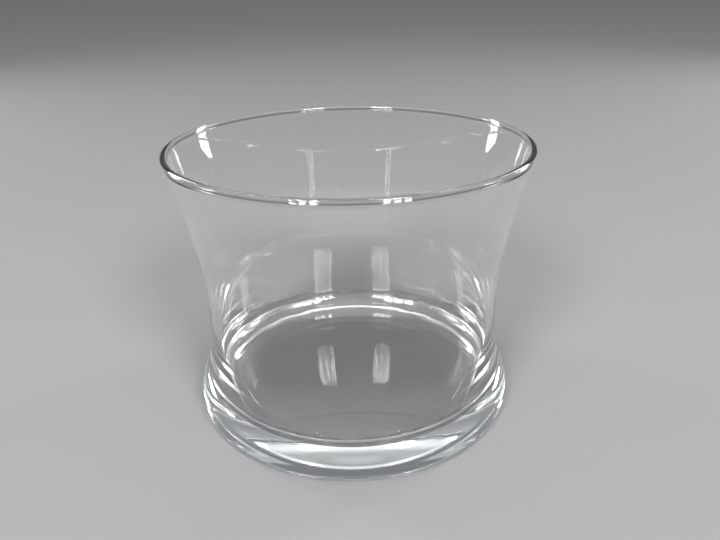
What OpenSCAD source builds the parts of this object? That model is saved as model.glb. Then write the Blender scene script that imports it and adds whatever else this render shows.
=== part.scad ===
// Wide clear-glass bowl: a thick flat base, a narrow waist and a flared, fire-polished rim.
// The real thing is one piece of glass. Each module is one zone of it, named as a glassmaker
// would name it, and neighbouring zones meet face to face.
// The origin is the centre of the flat underside and +Z points out of the mouth.

/* [Overall] */
// Diameter across the outside of the rim
rim_d = 190; // [180:1:190]
// Height from the underside to the top of the rim
height = 150; // [148:1:170]
// Outside diameter of the waist where it is narrowest
waist_d = 164; // [164:1:167]

/* [Foot and base] */
// Outside diameter of the foot
foot_d = 183; // [180:1:184]
// Radius that rounds the foot's lower edge
foot_edge_r = 6; // [2:0.5:8]
// Height at which the foot's upright side would meet its sloping shoulder
shoulder_z = 12.5; // [11:0.5:14]
// Radius that rounds the shoulder
shoulder_r = 14; // [4:1:18]
// Lean of the shoulder from upright, in degrees
shoulder_lean = 19.8; // [18:0.1:22]
// Thickness of the base
base_t = 12; // [7:0.5:15]
// Inside diameter at which the floor and the wall would meet in a sharp corner
floor_d = 164; // [158:0.5:166]
// Radius that rounds that inside corner
floor_corner_r = 12; // [5:1:16]

/* [Wall and rim] */
// Radius of the hollow curve from the shoulder up into the waist
lower_curve_r = 115; // [60:5:115]
// Radius of the hollow curve from the waist out into the flare
upper_curve_r = 250; // [120:5:250]
// Lean of the flared wall's outside from upright, in degrees
flare_lean = 11.6; // [11.4:0.1:12.4]
// Inside diameter of the waist, at the corner of the wall's inside before rounding
bore_d = 157; // [152:0.5:158]
// Radius of the inside curve from the waist out into the flare
bore_curve_r = 270; // [100:10:300]
// Lean of the flared wall's inside from upright, in degrees
bore_lean = 11.6; // [11.4:0.1:12.4]
// Thickness of the wall just below the rim
rim_wall_t = 2.4; // [1.8:0.1:2.8]
// Thickness of the rounded bead along the rim
bead_d = 2.9; // [2.9:0.1:4]

/* [Hidden] */
$fn = 360;
wall_glass = [0.80, 0.90, 0.89, 0.45];
base_glass = [0.62, 0.80, 0.78, 0.60];

// The bead's centre, and the two faces of the wall that ends inside it
bead_r = bead_d / 2;
bead_centre = [rim_d / 2 - bead_r, height - bead_r];
outer_top = bead_centre + [rim_wall_t / 2, 0];
inner_top = bead_centre - [rim_wall_t / 2, 0];

// Corners of the outside before rounding, from the foot upwards
foot_corner = [foot_d / 2, 0];
shoulder_corner = [foot_d / 2, shoulder_z];
lower_corner = [waist_d / 2, shoulder_z + (foot_d - waist_d) / 2 / tan(shoulder_lean)];
upper_corner = [waist_d / 2, outer_top.y - (outer_top.x - waist_d / 2) / tan(flare_lean)];

// Corners of the inside before rounding, from the floor upwards
floor_corner = [floor_d / 2, base_t];
bore_corner = [bore_d / 2, inner_top.y - (inner_top.x - bore_d / 2) / tan(bore_lean)];

// A bend is a corner, the points before and after it, and the radius that rounds it
foot_edge = [[0, 0], foot_corner, shoulder_corner, foot_edge_r];
shoulder = [foot_corner, shoulder_corner, lower_corner, shoulder_r];
lower_bend = [shoulder_corner, lower_corner, upper_corner, lower_curve_r];
upper_bend = [lower_corner, upper_corner, outer_top, upper_curve_r];
floor_bend = [[0, base_t], floor_corner, bore_corner, floor_corner_r];
bore_bend = [floor_corner, bore_corner, inner_top, bore_curve_r];

function unit(v) = v / norm(v);
function opening(bend) = acos(unit(bend[0] - bend[1]) * unit(bend[2] - bend[1]));
function reach(bend) = bend[3] / tan(opening(bend) / 2);
function arc_start(bend) = bend[1] + unit(bend[0] - bend[1]) * reach(bend);
function arc_end(bend) = bend[1] + unit(bend[2] - bend[1]) * reach(bend);
function bisector(bend) = unit(unit(bend[0] - bend[1]) + unit(bend[2] - bend[1]));
function arc_centre(bend) = bend[1] + bisector(bend) * bend[3] / sin(opening(bend) / 2);

// The radius and the heights at which one zone gives way to the next
floor_r = arc_start(floor_bend).x;
base_top = base_t + floor_corner_r;
flare_start = upper_corner.y;
bead_start = height - bead_d;

module bend_disc(bend) {
    translate(arc_centre(bend)) circle(bend[3]);
}

// What comes off a corner that sticks out when it is rounded, and a little empty space beyond it
module tip(bend) {
    beyond = 2 * bend[1] - arc_centre(bend);
    difference() {
        polygon([arc_start(bend), beyond, arc_end(bend)]);
        bend_disc(bend);
    }
}

// What is open at a hollow corner: the slice of its disc between the ends of its arc
module hollow(bend) {
    intersection() {
        polygon([arc_start(bend), bend[1], arc_end(bend), arc_centre(bend)]);
        bend_disc(bend);
    }
}

// Half section of the outside, filled in to the axis, up to the middle of the bead
module outside() {
    difference() {
        polygon([[0, 0], foot_corner, shoulder_corner,
                 arc_start(lower_bend), arc_end(lower_bend),
                 arc_start(upper_bend), arc_end(upper_bend),
                 outer_top, [0, outer_top.y]]);
        tip(foot_edge);
        tip(shoulder);
        hollow(lower_bend);
        hollow(upper_bend);
    }
}

// Half section of the space inside, up to the middle of the bead
module inside() {
    difference() {
        polygon([[0, base_t], floor_corner, arc_start(bore_bend), arc_end(bore_bend),
                 inner_top, [0, inner_top.y]]);
        tip(floor_bend);
        hollow(bore_bend);
    }
}

// Half section of the whole glass
module section() {
    difference() {
        outside();
        inside();
    }
    translate(bead_centre) circle(bead_r);
}

// One zone of the glass: what the section has inside a window, turned round the axis
module zone(r_from, r_to, z_from, z_to) {
    rotate_extrude()
        intersection() {
            section();
            translate([r_from, z_from]) square([r_to - r_from, z_to - z_from]);
        }
}

module rim_bead() {
    color(wall_glass) zone(0, rim_d, bead_start, height);
}

module flared_wall() {
    color(wall_glass) zone(0, rim_d, flare_start, bead_start);
}

module waist_wall() {
    color(wall_glass) zone(0, rim_d, base_top, flare_start);
}

module foot_ring() {
    color(base_glass) zone(floor_r, rim_d, 0, base_top);
}

module solid_base() {
    color(base_glass) zone(0, floor_r, 0, base_top);
}

rim_bead();
flared_wall();
waist_wall();
foot_ring();
solid_base();
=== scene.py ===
import math
import bpy
from mathutils import Matrix, Vector, noise


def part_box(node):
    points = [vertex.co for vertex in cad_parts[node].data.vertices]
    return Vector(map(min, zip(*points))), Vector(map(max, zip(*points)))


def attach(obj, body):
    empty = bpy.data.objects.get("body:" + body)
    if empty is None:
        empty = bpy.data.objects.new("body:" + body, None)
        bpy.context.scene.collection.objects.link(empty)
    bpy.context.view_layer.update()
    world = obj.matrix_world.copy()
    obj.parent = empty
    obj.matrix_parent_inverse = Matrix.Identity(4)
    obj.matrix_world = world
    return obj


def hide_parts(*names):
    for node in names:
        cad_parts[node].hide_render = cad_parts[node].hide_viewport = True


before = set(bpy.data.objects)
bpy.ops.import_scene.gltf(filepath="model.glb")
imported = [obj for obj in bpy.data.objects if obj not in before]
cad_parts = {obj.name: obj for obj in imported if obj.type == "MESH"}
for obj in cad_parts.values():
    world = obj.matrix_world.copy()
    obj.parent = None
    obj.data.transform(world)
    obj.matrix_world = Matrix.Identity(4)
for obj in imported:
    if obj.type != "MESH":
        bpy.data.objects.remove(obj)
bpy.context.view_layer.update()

# ---------------------------------------------------------------- sizes, in metres
MM = 0.001

# What the frame gives, from the boxes of the CAD zones
rim_low, rim_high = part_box("rim_bead")
RIM_R = rim_high[0]
HEIGHT = rim_high[2]
BEAD_R = (rim_high[2] - rim_low[2]) / 2
FOOT_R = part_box("foot_ring")[1][0]
FLAT_R, _, BASE_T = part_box("solid_base")[1]

# The CAD outline's other corners, leans and radii, repeated here
WAIST_R = 82 * MM
FOOT_EDGE_R = 6 * MM
SHOULDER_Z = 12.5 * MM
SHOULDER_R = 14 * MM
SHOULDER_LEAN = math.radians(19.8)
LOWER_CURVE_R = 115 * MM
UPPER_CURVE_R = 250 * MM
FLARE_LEAN = math.radians(11.6)
FLOOR_R = 82 * MM
FLOOR_CORNER_R = 12 * MM
BORE_R = 78.5 * MM
BORE_CURVE_R = 270 * MM
BORE_LEAN = math.radians(11.6)
RIM_WALL_T = 2.4 * MM

# Fine shape that only the looks carry
FLOOR_DISH = 0.5 * MM        # how far the floor sags to its middle
WOBBLE = 0.02 * MM           # hot-worked glass is never quite round
WOBBLE_PER_M = 28            # how quickly that push changes along the glass
WOBBLE_SEED = 5
LEVEL_BELOW = 1 * MM         # nothing under this height is pushed, so the bowl stands level
CHILL_INSIDE = 0.016 * MM    # height of the fine rings that the tools and the cooling leave
CHILL_OUTSIDE = 0.006 * MM
RINGS_PER_M = 170            # how closely those rings follow each other along the outline
FINE_RINGS_PER_M = 420
FINE_RINGS_SHARE = 0.4       # height of the finer rings against the others
CALM_CENTRE = 10 * MM        # the rings die out this close to the axis
CALM_LIP = 8 * MM            # and this close to the top of the lip

# How finely the mesh is cut
TURNS = 360                  # segments round the axis
LINE_STEP = 2 * MM           # the longest step along a straight stretch of the outline
ARC_STEP = 1.2 * MM          # the longest step along an arc of it
ARC_TURN = math.radians(1.2)
LIP_STEPS = 24               # steps round the bead
ON_AXIS = 1e-7               # a radius under this is a point on the axis

# The ring of the underside that is worn by standing and sliding
WEAR_WIDTH = 11 * MM
WEAR_BELOW = 0.2 * MM

noise.seed_set(WOBBLE_SEED)  # without it the wobble would differ from run to run


# ---------------------------------------------------------------- outline
def fillet(before, at, after, radius):
    """Points of the arc of this radius that rounds the corner at, from before to after."""
    to_before = (before - at).normalized()
    to_after = (after - at).normalized()
    half = to_before.angle(to_after) / 2
    reach = radius / math.tan(half)
    centre = at + (to_before + to_after).normalized() * radius / math.sin(half)
    start = at + to_before * reach - centre
    end = at + to_after * reach - centre
    first = math.atan2(start.y, start.x)
    sweep = math.remainder(math.atan2(end.y, end.x) - first, 2 * math.pi)
    count = max(4, math.ceil(abs(sweep) / min(ARC_TURN, ARC_STEP / radius)))
    return [centre + radius * Vector((math.cos(first + sweep * i / count),
                                      math.sin(first + sweep * i / count)))
            for i in range(count + 1)]


def along(start, end):
    """Points from start to end, no further apart than LINE_STEP, without start itself."""
    count = max(1, math.ceil((end - start).length / LINE_STEP))
    return [start.lerp(end, i / count) for i in range(1, count + 1)]


def rounded(corners):
    """The points of an outline through corners, each (point, radius), rounded where radius is set."""
    points = [corners[0][0]]
    for (before, _), (at, radius), (after, _) in zip(corners, corners[1:], corners[2:]):
        bend = fillet(before, at, after, radius)
        points += along(points[-1], bend[0]) + bend[1:]
    return points + along(points[-1], corners[-1][0])


def outline():
    """The glass's half section as (radius, height): underside, outside, rim, inside, floor."""
    bead = Vector((RIM_R - BEAD_R, HEIGHT - BEAD_R))
    outer_top = bead + Vector((RIM_WALL_T / 2, 0))
    inner_top = bead - Vector((RIM_WALL_T / 2, 0))
    lower_z = SHOULDER_Z + (FOOT_R - WAIST_R) / math.tan(SHOULDER_LEAN)
    upper_z = outer_top.y - (outer_top.x - WAIST_R) / math.tan(FLARE_LEAN)
    bore_z = inner_top.y - (inner_top.x - BORE_R) / math.tan(BORE_LEAN)
    outside = rounded([(Vector((0, 0)), 0),
                       (Vector((FOOT_R, 0)), FOOT_EDGE_R),
                       (Vector((FOOT_R, SHOULDER_Z)), SHOULDER_R),
                       (Vector((WAIST_R, lower_z)), LOWER_CURVE_R),
                       (Vector((WAIST_R, upper_z)), UPPER_CURVE_R),
                       (outer_top, 0)])
    inside = rounded([(inner_top, 0),
                      (Vector((BORE_R, bore_z)), BORE_CURVE_R),
                      (Vector((FLOOR_R, BASE_T)), FLOOR_CORNER_R),
                      (Vector((0, BASE_T)), 0)])
    outside = [p for p in outside if (p - bead).length > BEAD_R]
    inside = [p for p in inside if (p - bead).length > BEAD_R]
    first = math.atan2(*reversed(outside[-1] - bead))
    last = math.atan2(*reversed(inside[0] - bead)) + 2 * math.pi
    angles = [first + (last - first) * i / LIP_STEPS for i in range(1, LIP_STEPS)]
    lip = [bead + BEAD_R * Vector((math.cos(angle), math.sin(angle))) for angle in angles]
    dished = [Vector((p.x, p.y - FLOOR_DISH * (1 - (p.x / FLAT_R) ** 2)))
              if p.x < FLAT_R else p for p in inside]
    return outside + lip + dished


# ---------------------------------------------------------------- meshes
def wobble(point):
    """A slow, small push along x and y, as the glass moved while it was soft."""
    slow = noise.noise_vector(point * WOBBLE_PER_M)
    return Vector((slow.x, slow.y, 0)) * WOBBLE


def normals(points):
    """The outline's outward direction at each point."""
    ends = [points[0]] + points + [points[-1]]
    ways = [(after - before).normalized() for before, after in zip(ends, ends[2:])]
    return [Vector((way.y, -way.x)) for way in ways]


def chill_height(way, radius, height, inside):
    """How far the skin is lifted here, way along the outline, by rings a few millimetres apart.

    The inside and the outside read different rows of the noise, so their rings don't match."""
    if height < FOOT_EDGE_R and not inside:
        return 0
    row, fine_row = 5.0 if inside else 9.0, 2.0
    rings = noise.noise(Vector((way * RINGS_PER_M, row, 0)))
    fine = noise.noise(Vector((way * FINE_RINGS_PER_M, fine_row, 0))) * FINE_RINGS_SHARE
    calm = min(1, radius / CALM_CENTRE) * min(1, (HEIGHT - height) / CALM_LIP)
    return (rings + fine) * calm * (CHILL_INSIDE if inside else CHILL_OUTSIDE)


def chilled(points):
    """The outline with its fine rings pressed in."""
    lip = max(range(len(points)), key=lambda i: points[i].y)
    way, moved = 0, []
    for i, (point, out) in enumerate(zip(points, normals(points))):
        way += (point - points[i - 1]).length if i else 0
        moved.append(point + out * chill_height(way, point.x, point.y, i > lip))
    moved[0].x = moved[-1].x = 0
    return moved


def revolve(points, turns):
    """Vertices and faces of the outline turned round z. Points on the axis become one vertex."""
    vertices, faces, rings = [], [], []
    for radius, height in points:
        first = len(vertices)
        if radius < ON_AXIS:
            vertices.append(Vector((0, 0, height)))
            rings.append([first] * turns)
            continue
        for i in range(turns):
            angle = 2 * math.pi * i / turns
            vertices.append(Vector((radius * math.cos(angle), radius * math.sin(angle), height)))
        rings.append(list(range(first, first + turns)))
    for low, high in zip(rings, rings[1:]):
        for i in range(turns):
            j = (i + 1) % turns
            faces.append(tuple(dict.fromkeys((low[i], low[j], high[j], high[i]))))
    return vertices, faces


def seed(centre, radius, stretch):
    """A small bubble's skin, stretched round the axis. It faces inwards, as the glass is outside it."""
    across = Vector((centre.x, centre.y, 0)).normalized()
    round_axis = Vector((-across.y, across.x, 0))
    rings, turns = 8, 16
    vertices, faces = [centre - Vector((0, 0, radius))], []
    for ring in range(1, rings):
        tilt = math.pi * ring / rings
        for turn in range(turns):
            angle = 2 * math.pi * turn / turns
            vertices.append(centre + radius * (across * math.sin(tilt) * math.cos(angle)
                                               + round_axis * stretch * math.sin(tilt) * math.sin(angle)
                                               - Vector((0, 0, math.cos(tilt)))))
    vertices.append(centre + Vector((0, 0, radius)))
    top = len(vertices) - 1
    for turn in range(turns):
        beside = (turn + 1) % turns
        faces.append((0, 1 + turn, 1 + beside))
        faces.append((top, top - turns + beside, top - turns + turn))
        for ring in range(rings - 2):
            low, high = 1 + ring * turns, 1 + (ring + 1) * turns
            faces.append((low + turn, high + turn, high + beside, low + beside))
    return vertices, faces


def seeds():
    """The few seed bubbles. Each has its angle in degrees, its distance out as a share of the
    foot's radius, its height as a share of the base's thickness, its radius in mm, and its stretch."""
    places = [(236, 0.52, 0.40, 0.45, 1.3), (301, 0.80, 0.55, 0.30, 1.6), (28, 0.66, 0.35, 0.25, 1.2),
              (122, 0.74, 0.60, 0.35, 1.5), (171, 0.38, 0.50, 0.22, 1.1), (342, 0.90, 0.45, 0.22, 1.8)]
    for angle, out, up, radius, stretch in places:
        turn = math.radians(angle)
        centre = Vector((math.cos(turn) * out * FOOT_R, math.sin(turn) * out * FOOT_R, up * BASE_T))
        yield seed(centre, radius * MM, stretch)


def placed(name, data):
    """A new object in the scene that holds this mesh, camera or light."""
    thing = bpy.data.objects.new(name, data)
    bpy.context.collection.objects.link(thing)
    return thing


def skinned(name, vertices, faces, material):
    """A new mesh object of one material."""
    mesh = bpy.data.meshes.new(name)
    mesh.from_pydata(vertices, [], faces)
    mesh.materials.append(material)
    return placed(name, mesh)


def glass_body(material):
    """The whole bowl as one closed skin, because it is one piece of glass."""
    vertices, faces = revolve(chilled(outline()), TURNS)
    vertices = [v + wobble(v) if v.z > LEVEL_BELOW else v for v in vertices]
    for bubble, skin in seeds():
        first = len(vertices)
        vertices += bubble
        faces += [tuple(first + corner for corner in face) for face in skin]
    piece = skinned("glass_body", vertices, faces, material)
    piece.data.shade_smooth()
    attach(piece, "root")
    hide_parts("rim_bead", "flared_wall", "waist_wall", "foot_ring", "solid_base")


# ---------------------------------------------------------------- materials
def new_material(name):
    """A material, its nodes, its links and its shader."""
    material = bpy.data.materials.new(name)
    material.use_nodes = True
    nodes = material.node_tree.nodes
    return material, nodes, material.node_tree.links, nodes["Principled BSDF"]


def ramp(nodes, links, amount, low, high, dark, bright):
    """A colour that is dark where the amount is below low, and bright where it is above high."""
    node = nodes.new("ShaderNodeValToRGB")
    for element, position, colour in zip(node.color_ramp.elements, (low, high), (dark, bright)):
        element.position = position
        element.color = (*colour, 1)
    links.new(amount, node.inputs["Fac"])
    return node.outputs["Color"]


def grain(nodes, links, place, scale, detail):
    """A noise field of this many grains to the metre."""
    field = nodes.new("ShaderNodeTexNoise")
    field.inputs["Scale"].default_value = scale
    field.inputs["Detail"].default_value = detail
    links.new(place.outputs["Position"], field.inputs["Vector"])
    return field.outputs["Fac"]


def blotches(nodes, links, place, scale, low, high, strength):
    """Soft patches from a noise field, up to strength where the noise passes high."""
    field = grain(nodes, links, place, scale, detail=5)
    return ramp(nodes, links, field, low, high, dark=(0, 0, 0), bright=(strength,) * 3)


def joined(nodes, links, operation, first, second):
    """The result of a maths node on two values, each a number or another node's output."""
    node = nodes.new("ShaderNodeMath")
    node.operation = operation
    for socket, value in zip(node.inputs, (first, second)):
        if isinstance(value, (int, float)):
            socket.default_value = value
        else:
            links.new(value, socket)
    return node.outputs["Value"]


def standing_wear(nodes, links, place):
    """1 on the narrow ring that the bowl stands and slides on, 0 elsewhere."""
    split = nodes.new("ShaderNodeSeparateXYZ")
    links.new(place.outputs["Position"], split.inputs["Vector"])
    across = joined(nodes, links, "POWER", split.outputs["X"], 2)
    deep = joined(nodes, links, "POWER", split.outputs["Y"], 2)
    radius = joined(nodes, links, "SQRT", joined(nodes, links, "ADD", across, deep), 0)
    low = joined(nodes, links, "LESS_THAN", split.outputs["Z"], WEAR_BELOW)
    outer = joined(nodes, links, "GREATER_THAN", radius, FOOT_R - WEAR_WIDTH)
    return joined(nodes, links, "MULTIPLY", low, outer)


def clear_glass():
    """Soda-lime glass: clear, a little blue-green where light goes far through it, with a few
    hazy finger marks and fine wear on the ring that it stands on."""
    material, nodes, links, shader = new_material("clear_glass")
    shader.inputs["Transmission Weight"].default_value = 1.0
    shader.inputs["IOR"].default_value = 1.52
    shader.inputs["Base Color"].default_value = (1, 1, 1, 1)
    place = nodes.new("ShaderNodeNewGeometry")
    marks = blotches(nodes, links, place, scale=45, low=0.66, high=0.80, strength=0.06)
    scratches = blotches(nodes, links, place, scale=700, low=0.45, high=0.62, strength=0.22)
    wear = joined(nodes, links, "MULTIPLY", standing_wear(nodes, links, place), scratches)
    links.new(joined(nodes, links, "MAXIMUM", marks, wear), shader.inputs["Roughness"])
    absorb = nodes.new("ShaderNodeVolumeAbsorption")
    absorb.inputs["Color"].default_value = (0.72, 0.93, 0.90, 1)
    absorb.inputs["Density"].default_value = 1.2
    links.new(absorb.outputs["Volume"], nodes["Material Output"].inputs["Volume"])
    return material


def floor_paint():
    """Pale matt studio board with a fine grain."""
    material, nodes, links, shader = new_material("studio_floor")
    shader.inputs["Roughness"].default_value = 0.9
    place = nodes.new("ShaderNodeNewGeometry")
    tone = ramp(nodes, links, grain(nodes, links, place, scale=900, detail=3), low=0, high=1,
                dark=(0.17, 0.17, 0.174), bright=(0.195, 0.195, 0.199))
    links.new(tone, shader.inputs["Base Color"])
    return material


# ---------------------------------------------------------------- camera, floor and light
def photo_camera():
    """The photograph's view: a 30 mm lens close in front, looking down at the bowl."""
    back, up, aim = 311.11 * MM, 224.96 * MM, 74.3 * MM
    yaw, roll = math.radians(0.762), math.radians(-1.44)
    place = Vector((0, -back, up))
    forward = (Vector((0, 0, aim)) - place).normalized()
    right = Vector((1, 0, 0))
    above = right.cross(forward)
    turned = forward * math.cos(yaw) + right * math.sin(yaw)
    side = right * math.cos(yaw) - forward * math.sin(yaw)
    rolled_side = side * math.cos(roll) + above * math.sin(roll)
    rolled_up = above * math.cos(roll) - side * math.sin(roll)
    data = bpy.data.cameras.new("camera")
    data.sensor_width = 36
    data.lens = 30
    camera = placed("camera", data)
    camera.matrix_world = (Matrix.Translation(place)
                           @ Matrix((rolled_side, rolled_up, -turned)).transposed().to_4x4())
    bpy.context.scene.camera = camera


def studio_floor():
    """A wide round board. It lies a hair under the glass, so that no two faces coincide."""
    radius, gap, count = 40.0, 0.05 * MM, 96
    angles = [2 * math.pi * i / count for i in range(count)]
    edge = [(radius * math.cos(angle), radius * math.sin(angle), -gap) for angle in angles]
    skinned("floor", edge, [tuple(range(count))], floor_paint())


def soft_box(name, place, size, watts):
    """A rectangular area light, size wide and high, that faces the bowl."""
    light = bpy.data.lights.new(name, "AREA")
    light.shape = "RECTANGLE"
    light.size, light.size_y = size
    light.energy = watts
    bowl_middle = Vector((0, 0, 0.1))
    lamp = placed(name, light)
    lamp.location = place
    lamp.rotation_euler = (bowl_middle - Vector(place)).to_track_quat("-Z", "Y").to_euler()


def window(name, place, size, watts):
    """A tall soft box split into upright panes, which the glass mirrors as stripes."""
    panes, pane_share = 3, 0.72
    sideways = Vector((-place[1], place[0], 0)).normalized()
    pitch = size[0] / panes
    for i in range(panes):
        middle = Vector(place) + sideways * pitch * (i - (panes - 1) / 2)
        soft_box(f"{name}_{i + 1}", middle, (pitch * pane_share, size[1]), watts / panes)


def studio_light():
    """Two tall windows in front and a narrow upright soft box on either side, a little behind."""
    window("window_left", (-0.86, -1.6, 1.5), size=(0.6, 0.8), watts=62)
    window("window_right", (0.86, -1.6, 1.5), size=(0.6, 0.8), watts=62)
    soft_box("side_left", (-1.5, 0.9, 0.7), size=(0.25, 1.2), watts=14)
    soft_box("side_right", (1.5, 0.9, 0.7), size=(0.25, 1.2), watts=14)


def studio_dome():
    """A grey dome round the studio that brightens overhead."""
    world = bpy.data.worlds.new("studio")
    world.use_nodes = True
    nodes, links = world.node_tree.nodes, world.node_tree.links
    direction = nodes.new("ShaderNodeTexCoord")
    split = nodes.new("ShaderNodeSeparateXYZ")
    links.new(direction.outputs["Generated"], split.inputs["Vector"])
    shade = ramp(nodes, links, split.outputs["Z"], low=0.6, high=1.0,
                 dark=(0.19, 0.193, 0.20), bright=(1.7, 1.7, 1.73))
    links.new(shade, nodes["Background"].inputs["Color"])
    bpy.context.scene.world = world


def render_look():
    """Plain colours, and enough bounces for light to find its way through the glass."""
    scene = bpy.context.scene
    scene.view_settings.view_transform = "Standard"
    scene.cycles.max_bounces = 32
    scene.cycles.transmission_bounces = 32
    scene.cycles.glossy_bounces = 16
    scene.cycles.sample_clamp_indirect = 25


# ---------------------------------------------------------------- build
photo_camera()
studio_floor()
studio_light()
studio_dome()
render_look()
glass_body(clear_glass())
